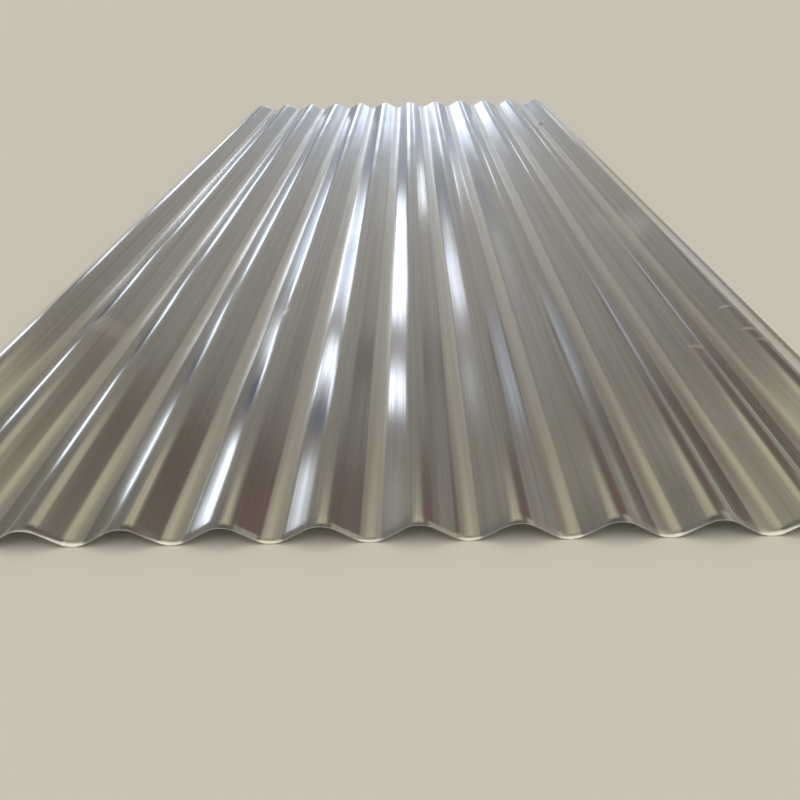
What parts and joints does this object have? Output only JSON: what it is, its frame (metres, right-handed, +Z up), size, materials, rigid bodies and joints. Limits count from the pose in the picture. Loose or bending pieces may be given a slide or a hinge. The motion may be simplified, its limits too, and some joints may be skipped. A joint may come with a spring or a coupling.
{
  "type": "corrugated metal sheet",
  "caption": "Long flat sheet of bright galvanised steel, roll-formed with even round corrugations along its length, for roofs, walls and fences.",
  "frame": {"origin": "on the surface that the sheet lies on, under the middle of its length and width", "axes": "+Y along the corrugations, +X across the sheet towards the edge that ends in a trough, +Z up"},
  "size_m": [0.9002, 2.44, 0.016],
  "materials": {
    "galvanised_steel": "bright hot-dip zinc, skin-passed, with fine lengthwise roll streaks"
  },
  "bodies": {
    "root": {"corrugated_sheet": "galvanised_steel"}
  },
  "joints": []
}
